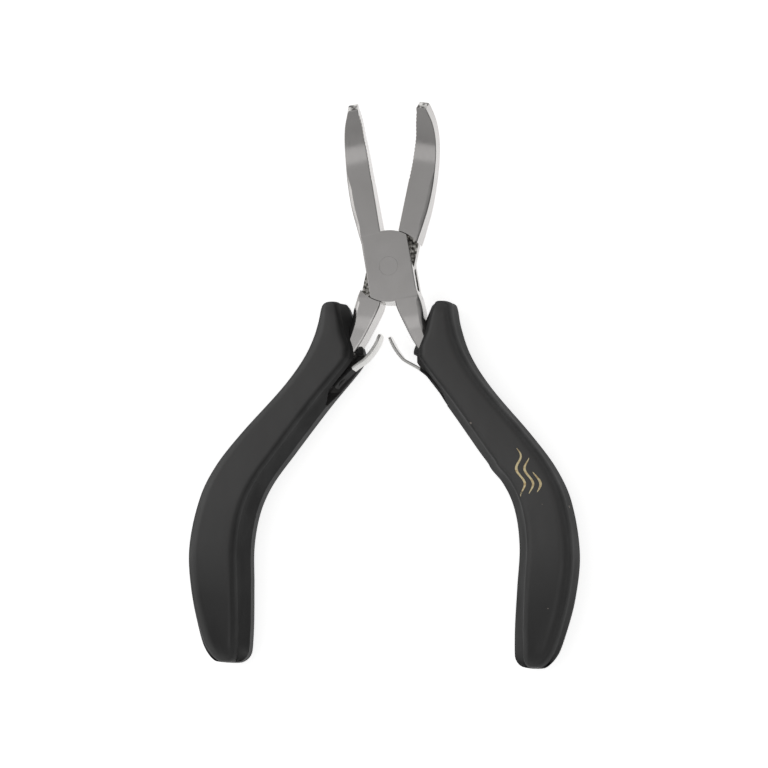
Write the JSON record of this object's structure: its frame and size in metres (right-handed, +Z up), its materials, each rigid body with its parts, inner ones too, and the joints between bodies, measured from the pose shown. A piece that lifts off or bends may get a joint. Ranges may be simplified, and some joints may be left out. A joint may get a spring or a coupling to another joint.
{
  "type": "fishing pliers",
  "caption": "Small bent-nose fishing pliers with a flush box joint, leaf springs that hold the jaws open and curved moulded plastic grips.",
  "frame": {"origin": "below the middle of the whole object's box, on the surface that the grip backs lie on", "axes": "+Y along the tool towards the jaw tips, +Z up out of the flat front that the jaws bend towards, +X to the right-hand grip"},
  "size_m": [0.092, 0.1306, 0.0147],
  "materials": {
    "steel": "satin",
    "rivet_steel": "satin",
    "spring_steel": "polished",
    "grip_plastic": "satin",
    "gold_motif": "satin"
  },
  "bodies": {
    "slotted_lever": {"slotted_half": "steel", "pivot_rivet": "rivet_steel", "right_grip": "grip_plastic", "right_spring_rivet": "rivet_steel"},
    "passing_lever": {"passing_half": "steel", "left_grip": "grip_plastic", "left_spring_rivet": "rivet_steel"},
    "right_leaf": {"right_leaf_spring": "spring_steel"},
    "left_leaf": {"left_leaf_spring": "spring_steel"}
  },
  "joints": [
    {"name": "pivot", "type": "hinge", "parent": "slotted_lever", "child": "passing_lever", "pos_m": [0, 0.02706, 0.0065], "axis": [0, 0, 1], "range_deg": [-12, 21.4], "stiffness_Nm_per_rad": 0.5},
    {"name": "right_leaf_flex", "type": "hinge", "parent": "slotted_lever", "child": "right_leaf", "pos_m": [0.0111, 0.00036, 0.0065], "axis": [0, 0, 1], "range_deg": [-10.7, 6]},
    {"name": "left_leaf_flex", "type": "hinge", "parent": "passing_lever", "child": "left_leaf", "pos_m": [-0.0111, 0.00036, 0.0065], "axis": [0, 0, 1], "range_deg": [-6, 10.7]}
  ],
  "couplings": [
    {"joint": "right_leaf_flex", "follows": "pivot", "ratio": -0.5},
    {"joint": "left_leaf_flex", "follows": "pivot", "ratio": 0.5}
  ]
}
